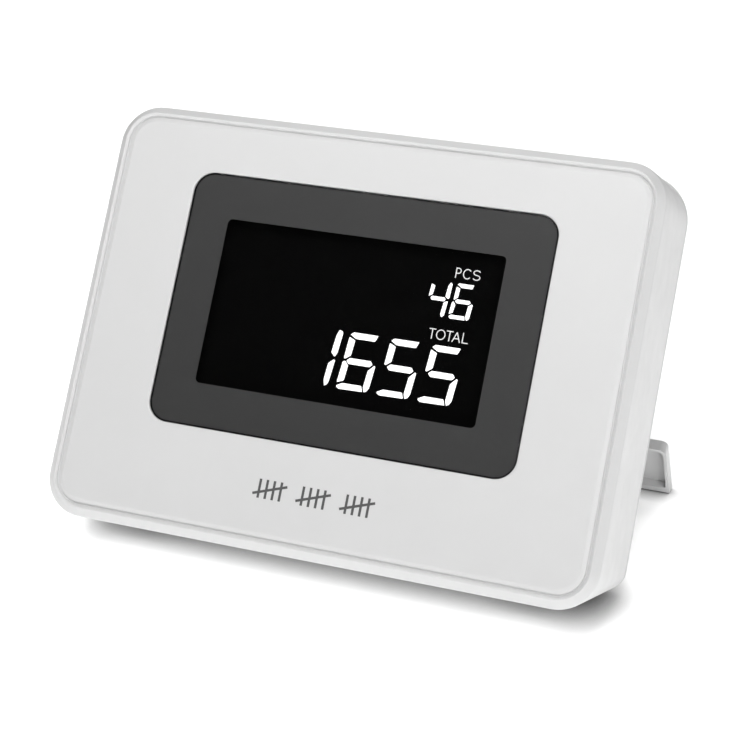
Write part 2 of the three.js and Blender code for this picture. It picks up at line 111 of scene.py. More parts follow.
def loft(rings, wrap=False, extra=None):
    """bmesh through rings of equal length, closed by caps or round on itself."""
    bm = extra or bmesh.new()
    rows = [[bm.verts.new(p) for p in r] for r in rings]
    n = len(rows[0])
    pairs = list(zip(rows, rows[1:] + ([rows[0]] if wrap else [])))
    for a, b in pairs:
        for i in range(n):
            j = (i + 1) % n
            bm.faces.new((a[i], a[j], b[j], b[i]))
    if not wrap:
        bm.faces.new(rows[0])
        bm.faces.new(rows[-1])
    return bm


def prism(points, z0, z1, extra=None):
    return loft([[(x, y, z0) for x, y in points], [(x, y, z1) for x, y in points]], extra=extra)


def slab(yz, x0, x1, extra=None):
    return loft([[(x0, y, z) for y, z in yz], [(x1, y, z) for y, z in yz]], extra=extra)


def cuboid(x0, x1, y0, y1, z0, z1, extra=None):
    return prism([(x0, y0), (x1, y0), (x1, y1), (x0, y1)], z0, z1, extra)


def round_block(x0, x1, y0, y1, z0, z1, r, seg=6, extra=None):
    return loft([ring(x0, x1, y0, y1, r, r, z0, seg), ring(x0, x1, y0, y1, r, r, z1, seg)], extra=extra)


def rod(x, y, z0, z1, r, seg=36, extra=None):
    c = [(x + r * math.cos(2 * math.pi * i / seg), y + r * math.sin(2 * math.pi * i / seg)) for i in range(seg)]
    return prism(c, z0, z1, extra)


def rod_x(x0, x1, y, z, r, seg=36, extra=None):
    c = [(y + r * math.cos(2 * math.pi * i / seg), z + r * math.sin(2 * math.pi * i / seg)) for i in range(seg)]
    return slab(c, x0, x1, extra)


def turned(profile, x, y, seg=32, extra=None):
    """Solid of revolution about an axis along z, from (radius, z) pairs that start and end on the axis."""
    bm = extra or bmesh.new()
    rows = []
    for r, z in profile:
        if r < 1e-6:
            rows.append([bm.verts.new((x, y, z))])
        else:
            rows.append([bm.verts.new((x + r * math.cos(2 * math.pi * i / seg), y + r * math.sin(2 * math.pi * i / seg), z)) for i in range(seg)])
    for a, b in zip(rows, rows[1:]):
        for i in range(seg):
            j = (i + 1) % seg
            quad = [a[i % len(a)], a[j % len(a)], b[j % len(b)], b[i % len(b)]]
            keep = []
            for v in quad:
                if v not in keep:
                    keep.append(v)
            if len(keep) > 2:
                bm.faces.new(keep)
    return bm


def to_object(name, bm):
    bmesh.ops.recalc_face_normals(bm, faces=bm.faces)
    me = bpy.data.meshes.new(name)
    bm.to_mesh(me)
    bm.free()
    ob = bpy.data.objects.new(name, me)
    bpy.context.scene.collection.objects.link(ob)
    return ob


def applied(ob):
    """Replaces the object's mesh by what its modifiers make of it."""
    graph = bpy.context.evaluated_depsgraph_get()
    graph.update()
    me = bpy.data.meshes.new_from_object(ob.evaluated_get(graph))
    old = ob.data
    ob.modifiers.clear()
    ob.data = me
    bpy.data.meshes.remove(old)
    return ob


def boolean(ob, *steps):
    """Adds or takes away bmesh solids, one after another."""
    tools = []
    for op, bm in steps:
        tool = to_object("tool", bm)
        tools.append(tool)
        m = ob.modifiers.new("b", "BOOLEAN")
        m.operation, m.solver, m.object = op, "EXACT", tool
    applied(ob)
    for tool in tools:
        me = tool.data
        bpy.data.objects.remove(tool)
        bpy.data.meshes.remove(me)
    return ob


def soften(ob, width, segments=3, angle=38):
    """Rounds the sharp edges, as moulded plastic has them."""
    bm = bmesh.new()
    bm.from_mesh(ob.data)
    bmesh.ops.remove_doubles(bm, verts=bm.verts, dist=1e-4)
    bmesh.ops.dissolve_degenerate(bm, edges=bm.edges, dist=1e-4)
    bmesh.ops.dissolve_limit(bm, angle_limit=math.radians(0.4), verts=bm.verts, edges=bm.edges)
    bm.to_mesh(ob.data)
    bm.free()
    m = ob.modifiers.new("edge", "BEVEL")
    m.limit_method, m.angle_limit = "ANGLE", math.radians(angle)
    m.width, m.segments, m.use_clamp_overlap = width, segments, True
    m.miter_outer = "MITER_ARC"
    return applied(ob)


def place(ob, matrix, body, material, slot, *nodes, smooth=40):
    """Takes a piece from its own frame in millimetres to the row frame, and fastens it."""
    me = ob.data
    me.transform(matrix)
    me.shade_smooth()
    me.set_sharp_from_angle(angle=math.radians(smooth))
    me.materials.clear()
    me.materials.append(material)
    w = ob.modifiers.new("normals", "WEIGHTED_NORMAL")
    w.keep_sharp, w.weight, w.mode = True, 50, "FACE_AREA"
    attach(ob, body)
    if nodes:
        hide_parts(*nodes)
    return ob


# ------------------------------------------------------------------ materials
def linear(v):
    v = v / 255
    return v / 12.92 if v <= 0.04045 else ((v + 0.055) / 1.055) ** 2.4


def grey(v, tint=(1, 1, 1)):
    return tuple(linear(v) * t for t in tint) + (1,)


def material(name, colour, rough, metal=0.0, mottle=0.03, mottle_scale=90, grain_scale=2600, grain=0.02, rough_vary=0.06, specular=0.5, coat=0.0, wear=0.0):
    """Moulded or coated surface: slight mottling of the colour, uneven roughness and a fine grain."""
    m = bpy.data.materials.new(name)
    m.use_nodes = True
    nt = m.node_tree
    p = nt.nodes["Principled BSDF"]
    p.inputs["Metallic"].default_value = metal
    p.inputs["Specular IOR Level"].default_value = specular
    p.inputs["Coat Weight"].default_value = coat
    tc = nt.nodes.new("ShaderNodeTexCoord")
    n1 = nt.nodes.new("ShaderNodeTexNoise")
    n1.inputs["Scale"].default_value = mottle_scale
    n1.inputs["Detail"].default_value = 4
    nt.links.new(tc.outputs["Object"], n1.inputs["Vector"])
    ramp = nt.nodes.new("ShaderNodeMapRange")
    ramp.inputs["From Min"].default_value = 0.3
    ramp.inputs["From Max"].default_value = 0.7
    ramp.inputs["To Min"].default_value = 1 - mottle
    ramp.inputs["To Max"].default_value = 1 + mottle * 0.5
    nt.links.new(n1.outputs["Fac"], ramp.inputs["Value"])
    scale = nt.nodes.new("ShaderNodeVectorMath")
    scale.operation = "SCALE"
    scale.inputs[0].default_value = colour[:3]
    nt.links.new(ramp.outputs["Result"], scale.inputs["Scale"])
    nt.links.new(scale.outputs["Vector"], p.inputs["Base Color"])
    n2 = nt.nodes.new("ShaderNodeTexNoise")
    n2.inputs["Scale"].default_value = mottle_scale * 4.3
    n2.inputs["Detail"].default_value = 3
    nt.links.new(tc.outputs["Object"], n2.inputs["Vector"])
    r = nt.nodes.new("ShaderNodeMapRange")
    r.inputs["From Min"].default_value = 0.3
    r.inputs["From Max"].default_value = 0.7
    r.inputs["To Min"].default_value = max(0.02, rough - rough_vary)
    r.inputs["To Max"].default_value = min(1, rough + rough_vary)
    nt.links.new(n2.outputs["Fac"], r.inputs["Value"])
    nt.links.new(r.outputs["Result"], p.inputs["Roughness"])
    if grain:
        n3 = nt.nodes.new("ShaderNodeTexNoise")
        n3.inputs["Scale"].default_value = grain_scale
        n3.inputs["Detail"].default_value = 2
        nt.links.new(tc.outputs["Object"], n3.inputs["Vector"])
        b = nt.nodes.new("ShaderNodeBump")
        b.inputs["Strength"].default_value = 0.6
        b.inputs["Distance"].default_value = grain / 1000
        nt.links.new(n3.outputs["Fac"], b.inputs["Height"])
        nt.links.new(b.outputs["Normal"], p.inputs["Normal"])
    return m


def glow(name, level, strength):
    """Lit segment: light from behind through white film."""
    m = bpy.data.materials.new(name)
    m.use_nodes = True
    nt = m.node_tree
    p = nt.nodes["Principled BSDF"]
    p.inputs["Base Color"].default_value = grey(200)
    p.inputs["Roughness"].default_value = 0.6
    tc = nt.nodes.new("ShaderNodeTexCoord")
    n = nt.nodes.new("ShaderNodeTexNoise")
    n.inputs["Scale"].default_value = 120
    nt.links.new(tc.outputs["Object"], n.inputs["Vector"])
    r = nt.nodes.new("ShaderNodeMapRange")
    r.inputs["To Min"].default_value = level * 0.97
    r.inputs["To Max"].default_value = level * 1.03
    nt.links.new(n.outputs["Fac"], r.inputs["Value"])
    c = nt.nodes.new("ShaderNodeCombineColor")
    for i in range(3):
        nt.links.new(r.outputs["Result"], c.inputs[i])
    nt.links.new(c.outputs["Color"], p.inputs["Emission Color"])
    p.inputs["Emission Strength"].default_value = strength
    return m


def clear(name, gloss=0.35):
    """Clear acrylic: see-through, with a weak reflection that grows at grazing angles."""
    m = bpy.data.materials.new(name)
    m.use_nodes = True
    nt = m.node_tree
    nt.nodes.remove(nt.nodes["Principled BSDF"])
    out = nt.nodes["Material Output"]
    t = nt.nodes.new("ShaderNodeBsdfTransparent")
    t.inputs["Color"].default_value = (0.985, 0.985, 0.985, 1)
    g = nt.nodes.new("ShaderNodeBsdfGlossy")
    g.inputs["Color"].default_value = (1, 1, 1, 1)
    tc = nt.nodes.new("ShaderNodeTexCoord")
    n = nt.nodes.new("ShaderNodeTexNoise")
    n.inputs["Scale"].default_value = 140
    n.inputs["Detail"].default_value = 5
    nt.links.new(tc.outputs["Object"], n.inputs["Vector"])
    r = nt.nodes.new("ShaderNodeMapRange")
    r.inputs["To Min"].default_value = 0.04
    r.inputs["To Max"].default_value = 0.14
    nt.links.new(n.outputs["Fac"], r.inputs["Value"])
    nt.links.new(r.outputs["Result"], g.inputs["Roughness"])
    f = nt.nodes.new("ShaderNodeFresnel")
    f.inputs["IOR"].default_value = 1.45
    s = nt.nodes.new("ShaderNodeMath")
    s.operation = "MULTIPLY"
    s.inputs[1].default_value = gloss
    nt.links.new(f.outputs["Fac"], s.inputs[0])
    mix = nt.nodes.new("ShaderNodeMixShader")
    nt.links.new(s.outputs["Value"], mix.inputs["Fac"])
    nt.links.new(t.outputs["BSDF"], mix.inputs[1])
    nt.links.new(g.outputs["BSDF"], mix.inputs[2])
    nt.links.new(mix.outputs["Shader"], out.inputs["Surface"])
    return m


WHITE = material("white_abs", grey(200), 0.42, mottle=0.012, mottle_scale=45, grain_scale=3200, grain=0.012)
WHITE_IN = material("white_abs_inner", grey(222), 0.6, mottle=0.02)
PRINT = material("mask_print", grey(60), 0.45, mottle=0.03, mottle_scale=120, grain=0.004, specular=0.25)
BLACK = material("black_plastic", grey(28), 0.45, mottle=0.1)
# Near-black tone of the real adhesive tape, also used as painted shade in the gap round the window lens.
TAPE_AND_PAINTED_GAP_SHADE = material("black_tape_and_painted_gap_shade", grey(10), 0.7, mottle=0.1, mottle_scale=400, specular=0.1)
FOAM = material("black_foam", grey(16), 0.95, mottle=0.2, mottle_scale=900, grain_scale=2200, grain=0.12, specular=0.1)
LCD = material("lcd_black", grey(9), 0.5, mottle=0.05, grain=0, specular=0.0)
GUIDE = material("light_guide", grey(225), 0.2, mottle=0.02)
REFLECT = material("reflector_film", grey(240), 0.3, mottle=0.02)
LED = material("led_package", grey(235, (1, 1, 0.86)), 0.4)
ZEBRA = material("elastomer", grey(110, (0.95, 0.97, 1.08)), 0.7, mottle=0.1, mottle_scale=2000)
BOARD = material("board_green", (0.012, 0.085, 0.035, 1), 0.4, mottle=0.12, mottle_scale=240)
CHIP = material("chip_epoxy", grey(32), 0.55, mottle=0.12, mottle_scale=600)
RUBBER = material("rubber", grey(44), 0.85, mottle=0.12, mottle_scale=300, grain_scale=1800, grain=0.05, specular=0.25)
STEEL = material("zinc_steel", grey(185), 0.32, metal=1.0, mottle=0.06, mottle_scale=500, grain=0.006, rough_vary=0.12)
GOLD = material("gold_plate", (0.78, 0.55, 0.2, 1), 0.28, metal=1.0, mottle=0.05, mottle_scale=900)
LABEL = material("label_film", grey(198), 0.35, mottle=0.02, mottle_scale=300, rough_vary=0.1)
INK = material("grey_print", grey(80), 0.55, mottle=0.04, mottle_scale=500, grain=0.004, specular=0.3)
LENS = clear("clear_acrylic")
SEGMENT = glow("lit_segment", 1.0, 1.02)
LEGEND = glow("lit_legend", 0.8, 0.45)

for node, mat in {
    "lcd_holder": WHITE_IN, "window_adhesive": BLACK, "lcd_dust_gasket": FOAM, "lcd_front_polariser": LCD,
    "lcd_front_glass": LCD, "lcd_rear_glass": LCD, "lcd_rear_polariser": LCD, "backlight_light_guide": GUIDE,
    "backlight_reflector": REFLECT, "backlight_led_left": LED, "backlight_led_right": LED, "zebra_strip": ZEBRA,
    "main_pcb": BOARD, "microcontroller_chip": CHIP, "lcd_driver_chip": CHIP, "crystal": STEEL,
    "buffer_capacitor": CHIP, "voltage_regulator": CHIP, "data_socket": BLACK, "socket_contacts": GOLD,
    "rating_label": LABEL, "front_housing": WHITE, "rear_cover": WHITE, "fold_out_stand": WHITE,
    "window_lens": LENS, "window_mask": PRINT,
}.items():
    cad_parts[node].data.materials.clear()
    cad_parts[node].data.materials.append(mat)
for node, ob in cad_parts.items():
    for start, mat in (("case_screw", STEEL), ("board_screw", STEEL), ("hinge_pin", STEEL), ("foot_pad", RUBBER), ("stand_pad", RUBBER)):
        if node.startswith(start):
            ob.data.materials.clear()
            ob.data.materials.append(mat)

# ------------------------------------------------------------------ front housing
# One closed skin: pocket of the window, face, groove, lip, soft chamfer, walls, and back along the inside.
face_profile = [
    (-1.75, 0.0), (-1.5, 0.0), (-1.3, -0.02), (-1.1, -0.07), (-0.85, -0.16), (-0.6, -0.245), (-0.42, -0.28),
    (-0.33, -0.32), (-0.28, -0.42), (-0.25, -0.6), (-0.18, -0.7), (0.14, -0.7), (0.22, -0.62), (0.26, -0.45),
    (0.32, -0.3), (0.44, -0.22), (0.62, -0.13), (0.78, -0.05), (0.89, -0.012), (0.97, -0.006), (1.03, -0.03),
    (1.12, -0.11), (1.27, -0.27), (1.6, -0.61), (2.0, -1.02), (2.4, -1.44), (2.78, -1.84), (2.9, -2.0),
    (2.97, -2.15), (3.02, -2.35), (3.045, -2.6),
]
rings = [
    ring(-41.5, 41.5, -26.5, 26.5, 2, 2, -FACE_THICK),
    ring(-41.5, 41.5, -26.5, 26.5, 2, 2, -POCKET),
    window(-0.25, -POCKET), window(0, -POCKET + 0.2), window(0, -0.5), window(0, -0.3),
    window(0.04, -0.15), window(0.13, -0.05), window(0.28, 0), window(0.7, 0),
]
rings += [rim(s, z) for s, z in face_profile]
rings += [outline(d, -0.0) for d in (3.1, 4.2, 8, 16, 24, 32, 35.6, 36.3)]
rings += [outline(36.6, 0.04), outline(36.78, 0.14), outline(36.85, 0.35), outline(36.85, WALL - 0.2)]
rings += [outline(36.5, WALL), outline(30, WALL), outline(16, WALL), outline(FACE_THICK + 1.6, WALL), outline(FACE_THICK + 0.4, WALL + 0.5), outline(FACE_THICK, WALL + 1.8)]
body = loft(rings, wrap=True)
for x, y in PCB_SCREWS:
    turned([(1.5, -5.5), (1.5, -12.0), (3.1, -12.0), (3.2, -3.05), (0, -3.05), (0, -5.5), (1.5, -5.5)][::-1], x, y, 24, body)
for x, y in CASE_SCREWS:
    turned([(1.7, -11), (1.7, -24.2), (3.6, -24.2), (3.75, -3.05), (0, -3.05), (0, -11), (1.7, -11)][::-1], x, y, 24, body)
place(to_object("front_housing_shell", body), UNIT, "display_unit", WHITE, "white_plastic", "front_housing", smooth=50)

# ------------------------------------------------------------------ window and mask
lens = loft([
    window(-0.15, -0.62), window(-0.15, -0.3), window(-0.17, -0.2), window(-0.24, -0.13), window(-0.35, -0.105), window(-0.5, -0.1), window(-0.9, -0.1),
])
place(to_object("window_lens_clear", lens), UNIT, "display_unit", LENS, "clear_window", "window_lens")


def seen(x, y, depth):
    """Point at a depth behind the face that shows through the face's point (x, y)."""
    unit_mm = Matrix.Scale(1000, 4) @ UNIT
    eye = unit_mm.inverted() @ CAMERA
    p = Vector((x, y, 0))
    d = p - eye
    q = eye + d * ((-depth - eye.z) / d.z)
    return q.x, q.y


ax0, ay0 = seen(-35.56, -20.81, 0.7)
ax1, ay1 = seen(35.24, 20.39, 0.7)
mask = loft([
    window(-0.5, -0.7), window(-0.5, -0.85),
    ring(ax0, ax1, ay0, ay1, 1.2, 1.2, -0.85), ring(ax0, ax1, ay0, ay1, 1.2, 1.2, -0.7),
], wrap=True)
place(to_object("window_mask_print", mask), UNIT, "display_unit", PRINT, "printed_mask", "window_mask")

# Real adhesive frame whose near-black front bead reaches out under the lens edge to the pocket wall: it paints the
# shade in the gap between lens and housing as a dark line.
adhesive = loft([
    window(-0.03, -1.85), window(-0.03, -0.66), window(-0.06, -0.635), window(-0.48, -0.635), window(-0.48, -0.95),
    ring(-41.9, 41.9, -26.9, 26.9, 2, 2, -0.95), ring(-41.9, 41.9, -26.9, 26.9, 2, 2, -1.85),
], wrap=True)
place(to_object("window_adhesive_frame_with_painted_gap_shade", adhesive), UNIT, "display_unit", TAPE_AND_PAINTED_GAP_SHADE, "black_plastic", "window_adhesive")

# ------------------------------------------------------------------ LCD segments and legends
U = 92.8


def flat_shapes(name, shapes, mat, depth_front, thick, round_by=0.0, from_face=True):
    bm = bmesh.new()
    for pts in shapes:
        pts = rounded(pts, round_by) if round_by else pts
        if from_face:
            pts = [seen(x, y, depth_front) for x, y in pts]
        area = sum(a[0] * b[1] - b[0] * a[1] for a, b in zip(pts, pts[1:] + pts[:1]))
        if area < 0:
            pts = pts[::-1]
        prism(pts, -depth_front, -depth_front - thick, bm)
    ob = to_object(name, bm)
    return place(ob, UNIT, "display_unit", mat, "white_film")


def rounded(pts, r):
    """Cuts each corner of a polygon with a short arc."""
    out = []
    n = len(pts)
    for i in range(n):
        a, b, c = Vector(pts[i - 1]), Vector(pts[i]), Vector(pts[(i + 1) % n])
        u, v = a - b, c - b
        k = min(r, u.length * 0.35, v.length * 0.35)
        p, q = b + u.normalized() * k, b + v.normalized() * k
        for t in (0, 0.5, 1):
            s = p * (1 - t) ** 2 + b * 2 * t * (1 - t) + q * t ** 2
            out.append((s.x, s.y))
    return out


def face_mm(poly, dx=0.0, inset=0.05):
    """Outline in the face's millimetres, drawn in a little all round."""
    pts = [Vector(((x + dx) * U, -y * U)) for x, y in poly]
    n = len(pts)
    turn = 1 if sum(a.x * b.y - b.x * a.y for a, b in zip(pts, pts[1:] + pts[:1])) > 0 else -1
    out = []
    for i in range(n):
        d1, d2 = (pts[i] - pts[i - 1]).normalized(), (pts[(i + 1) % n] - pts[i]).normalized()
        n1, n2 = Vector((-d1.y, d1.x)) * turn, Vector((-d2.y, d2.x)) * turn
        k = inset / max(0.5, (n1 + n2).length ** 2 / 2)
        out.append(tuple(pts[i] + (n1 + n2) * k))
    return out


A5 = [(.2318, .0376), (.2397, .0300), (.3074, .0300), (.3006, .0471), (.2485, .0471)]
F5 = [(.2318, .0435), (.2479, .0506), (.2441, .0912), (.2294, .1021), (.2259, .0994), (.2300, .0450)]
G5 = [(.2338, .1053), (.2426, .0971), (.2991, .0971), (.3059, .1059), (.2985, .1138), (.2412, .1138)]
C5 = [(.3141, .1094), (.3088, .1662), (.3035, .1762), (.2956, .1800), (.2912, .1676), (.2956, .1235), (.3103, .1074)]
D5 = [(.2197, .1721), (.2353, .1638), (.2868, .1638), (.2926, .1797), (.2279, .1809), (.2206, .1765)]
E6 = [(.0085, .1074), (.0135, .1062), (.0229, .1176), (.0191, .1574), (.0015, .1647), (.0006, .1609), (.0059, .1088)]
B1 = [(-.0162, .0294), (-.0088, .0324), (-.0068, .0382), (-.0118, .0897), (-.0176, .1015), (-.0294, .0906), (-.0241, .0441), (-.0191, .0309)]
C1 = [(-.0191, .1074), (-.0141, .1082), (-.0147, .1132), (-.0200, .1647), (-.0229, .1735), (-.0309, .1794), (-.0353, .1632), (-.0318, .1191)]
big = [face_mm(s, dx) for dx in (0, -.1095, -.2190) for s in (A5, F5, G5, C5, D5)] + [face_mm(E6), face_mm(B1), face_mm(C1)]
flat_shapes("lcd_total_digits", big, SEGMENT, LCD_DEPTH, 0.05, 0.16)
small = [face_mm(s) for s in (
    [(.1994, -.125), (.2103, -.1206), (.2075, -.097), (.1971, -.0906)],
    [(.2494, -.1347), (.2544, -.1294), (.2525, -.0925), (.2485, -.0897), (.2406, -.0956), (.2435, -.125)],
    [(.2024, -.088), (.2065, -.0935), (.2405, -.0935), (.2435, -.088), (.240, -.0824), (.206, -.0824)],
    [(.250, -.0853), (.2505, -.083), (.247, -.047), (.2412, -.0412), (.238, -.0435), (.2359, -.0515), (.2395, -.0815)],
    [(.2662, -.131), (.2705, -.1347), (.3109, -.1347), (.307, -.1229), (.2785, -.1229)],
    [(.2655, -.1255), (.276, -.122), (.2745, -.0975), (.266, -.0905), (.263, -.0915), (.265, -.122)],
    [(.2676, -.088), (.2725, -.0935), (.3055, -.0935), (.3103, -.088), (.305, -.0824), (.2725, -.0824)],
    [(.2625, -.0865), (.265, -.0865), (.2712, -.0785), (.268, -.057), (.2574, -.052), (.2605, -.0835)],
    [(.2579, -.0475), (.2635, -.0524), (.300, -.0524), (.3024, -.0412), (.262, -.0412)],
    [(.3125, -.086), (.3162, -.083), (.313, -.047), (.3075, -.0412), (.304, -.043), (.3015, -.052), (.304, -.079)],
)]
flat_shapes("lcd_count_digits", small, SEGMENT, LCD_DEPTH, 0.05, 0.1)


def stroke(points, width, closed=False):
    """Ribbon of even width along a line, as one polygon per straight piece, with mitred joints."""
    pts = [Vector(p) for p in points]
    n = len(pts)
    left, right = [], []
    for i in range(n):
        a = pts[i - 1] if (i or closed) else None
        c = pts[(i + 1) % n] if (i + 1 < n or closed) else None
        d1 = (pts[i] - a).normalized() if a is not None else None
        d2 = (c - pts[i]).normalized() if c is not None else None
        d1, d2 = d1 or d2, d2 or d1
        t = (d1 + d2).normalized()
        nrm = Vector((-t.y, t.x))
        k = width / 2 / max(0.5, nrm.dot(Vector((-d1.y, d1.x))))
        left.append(pts[i] + nrm * k)
        right.append(pts[i] - nrm * k)
    out = []
    for i in range(n if closed else n - 1):
        j = (i + 1) % n
        out.append([tuple(left[i]), tuple(left[j]), tuple(right[j]), tuple(right[i])])
    return out


def arc(cx, cy, rx, ry, a0, a1, n=14):
    return [(cx + rx * math.cos(math.radians(a0 + (a1 - a0) * i / n)), cy + ry * math.sin(math.radians(a0 + (a1 - a0) * i / n))) for i in range(n + 1)]


def letter(kind, x0, x1, y0, y1, w):
    """Plain capital inside a box, y0 being its foot; one list of ribbons."""
    l, r, b, t = x0 + w / 2, x1 - w / 2, y0 + w / 2, y1 - w / 2
    m, h = (l + r) / 2, t - b
    if kind == "T":
        return stroke([(x0, t), (x1, t)], w) + stroke([(m, t - w / 2), (m, y0)], w)
    if kind == "L":
        return stroke([(l, y1), (l, b), (x1, b)], w)
    if kind == "A":
        return stroke([(l, y0), (m, t)], w) + stroke([(m, t), (r, y0)], w) + stroke([(l + (m - l) * 0.36, b + h * 0.33), (r - (r - m) * 0.36, b + h * 0.33)], w)
    if kind == "O":
        return stroke(arc(m, (b + t) / 2, (r - l) / 2, h / 2, 0, 360 - 360 / 28, 27), w, True)
    if kind == "C":
        return stroke(arc(m, (b + t) / 2, (r - l) / 2, h / 2, 42, 318, 22), w)
    if kind == "P":
        q = b + h * 0.46
        ry = (t - q) / 2
        return stroke([(l, y0), (l, y1)], w) + stroke([(l, t), (r - ry, t)] + arc(r - ry, t - ry, ry, ry, 90, -90, 12)[1:-1] + [(r - ry, q), (l, q)], w)
    if kind == "S":
        ry = h / 4
        top = arc(m, t - ry, (r - l) / 2, ry, 25, 270, 16)
        low = arc(m, b + ry, (r - l) / 2 * 1.04, ry, 90, -155, 16)
        return stroke(top[:-1] + low, w)
    return []


def legend(name, letters, y_low, y_high, width):
    shapes = []
    for kind, a, b in letters:
        shapes += letter(kind, a * U, b * U, y_low, y_high, width)
    bm = bmesh.new()
    for i, pts in enumerate(shapes):
        pts = [seen(x, y, LCD_DEPTH) for x, y in pts]
        area = sum(a[0] * b[1] - b[0] * a[1] for a, b in zip(pts, pts[1:] + pts[:1]))
        prism(pts if area > 0 else pts[::-1], -LCD_DEPTH, -LCD_DEPTH - 0.04, bm)
    return place(to_object(name, bm), UNIT, "display_unit", LEGEND, "white_film")


legend("lcd_legend_pieces", [("P", .2560, .2705), ("C", .2755, .2985), ("S", .3015, .3215)], .147 * U, .174 * U, 0.23)
legend("lcd_legend_sum", [("T", .2165, .2340), ("O", .2360, .2605), ("T", .2625, .2800), ("A", .2785, .3010), ("L", .3050, .3210)], -.0165 * U, .0105 * U, 0.23)

# ------------------------------------------------------------------ tally-mark print under the window
marks = []
for group in (-11.0, 0.0, 11.0):
    for k in range(4):
        x = group - 2.7 + 1.8 * k
        marks += stroke([(x, -45.6), (x, -41.0)], 0.62)
    marks += stroke([(group - 4.2, -44.7), (group + 4.2, -41.9)], 0.62)
bm = bmesh.new()
for i, pts in enumerate(marks):
    area = sum(a[0] * b[1] - b[0] * a[1] for a, b in zip(pts, pts[1:] + pts[:1]))
    lift = 0.012 + 0.004 * (i % 5 == 4)
    prism(pts if area > 0 else pts[::-1], lift, 0.002, bm)
place(to_object("tally_print", bm), UNIT, "display_unit", INK, "printed_mask")

# ------------------------------------------------------------------ rear cover
edge = []
for i in range(9):
    a = math.radians(90 * i / 8)
    edge.append(outline(DEPTH, REAR_EDGE * (1 - math.cos(a)), z=-(DEPTH - REAR_EDGE) - REAR_EDGE * math.sin(a)))
cover = to_object("rear_cover_shell", loft([outline(SEAM + GAP / 2, 0.3), outline(SEAM + 0.2, 0.1), outline(SEAM + 0.35, 0.0)] + edge))
steps = [
    ("UNION", loft([outline(SEAM - 3.2, WALL + GAP + 0.2), outline(SEAM - 2.9, WALL + GAP), outline(SEAM + 0.6, WALL + GAP)])),
    ("DIFFERENCE", loft([outline(SEAM - 4, WALL + GAP + 1.6), outline(DEPTH - 2.3, WALL + GAP + 1.6, z=-DEPTH + 2.3)])),
]
for x, y in CASE_SCREWS:
    steps += [
        ("UNION", rod(x, y, -24.5, -DEPTH + 1.5, 4.7)),
        ("DIFFERENCE", rod(x, y, -26.8, -DEPTH - 1, 3.6)),
        ("DIFFERENCE", rod(x, y, -23.2, -DEPTH, 1.75, 24)),
    ]
steps += [
    ("UNION", cuboid(SOCKET_X - 13.6, SOCKET_X + 13.6, SOCKET_Y - 11.6, SOCKET_Y + 11.6, -DEPTH + 1, -29)),
    ("DIFFERENCE", round_block(SOCKET_X - 12, SOCKET_X + 12, SOCKET_Y - 10, SOCKET_Y + 10, -DEPTH - 1, -30.8, 1.8)),
    ("DIFFERENCE", round_block(SOCKET_X - 8.35, SOCKET_X + 8.35, SOCKET_Y - 7.35, SOCKET_Y + 7.35, -DEPTH, -28, 0.5, 3)),
    ("DIFFERENCE", round_block(-28.8, 28.8, 25.2, 46.8, -DEPTH - 1, -DEPTH + 0.35, 2.2)),
]
for sx in (-1, 1):
    lug = [(HINGE_Y - 5.2, -DEPTH + 1.4), (HINGE_Y - 4.9, -DEPTH)]
    for i in range(21):
        a = math.radians(200 + 140 * i / 20)
        lug.append((HINGE_Y + 3.1 * math.cos(a), HINGE_Z + 3.1 * math.sin(a)))
    lug += [(HINGE_Y + 4.9, -DEPTH), (HINGE_Y + 5.2, -DEPTH + 1.4)]
    a = LEG_HALF + 0.4 if sx > 0 else -LEG_HALF - 5.6
    steps.append(("UNION", slab(lug, a, a + 5.2)))
    steps.append(("DIFFERENCE", rod_x(min(sx * 31, sx * 40), max(sx * 31, sx * 40), HINGE_Y, HINGE_Z, 1.32, 28)))
boolean(cover, *steps)
soften(cover, 0.3)
place(cover, UNIT, "display_unit", WHITE, "white_plastic", "rear_cover")

# ------------------------------------------------------------------ label, contacts, pins
label = loft([
    ring(-28, 28, 26, 46, 1.5, 1.5, -DEPTH + 0.3), ring(-28, 28, 26, 46, 1.5, 1.5, -DEPTH + 0.14), ring(-27.93, 27.93, 26.07, 45.93, 1.43, 1.43, -DEPTH + 0.1),
])
place(to_object("blank_label", label), UNIT, "display_unit", LABEL, "label_film", "rating_label")

bm = bmesh.new()
for k in range(8):
    x = SOCKET_X - 3.1 + k * 0.886
    path = [(-2.6, -19.4), (-2.62, -27.3), (-2.85, -27.9), (-3.25, -27.7), (-4.9, -22.2)]
    up = []
    down = []
    for i, (y, z) in enumerate(path):
        a = Vector(path[max(0, i - 1)])
        b = Vector(path[min(len(path) - 1, i + 1)])
        t = (b - a).normalized()
        n = Vector((-t.y, t.x)) * 0.13
        up.append((y + n.x, z + n.y))
        down.append((y - n.x, z - n.y))
    slab(up + down[::-1], x - 0.2, x + 0.2, bm)
place(to_object("socket_wires", bm), UNIT, "display_unit", GOLD, "contact_gold", "socket_contacts")

for side, sx in (("left", -1), ("right", 1)):
    a, b = LEG_HALF - 7, LEG_HALF + 5.4
    rows = []
    for x, r in ((a, 0.9), (a + 0.25, 1.12), (a + 0.5, 1.2), (b - 0.5, 1.2), (b - 0.2, 1.1), (b, 0.85)):
        rows.append([(sx * x, HINGE_Y + r * math.cos(2 * math.pi * i / 28), HINGE_Z + r * math.sin(2 * math.pi * i / 28)) for i in range(28)])
    place(to_object("hinge_pin_turned_" + side, loft(rows)), UNIT, "display_unit", STEEL, "steel", "hinge_pin_" + side)

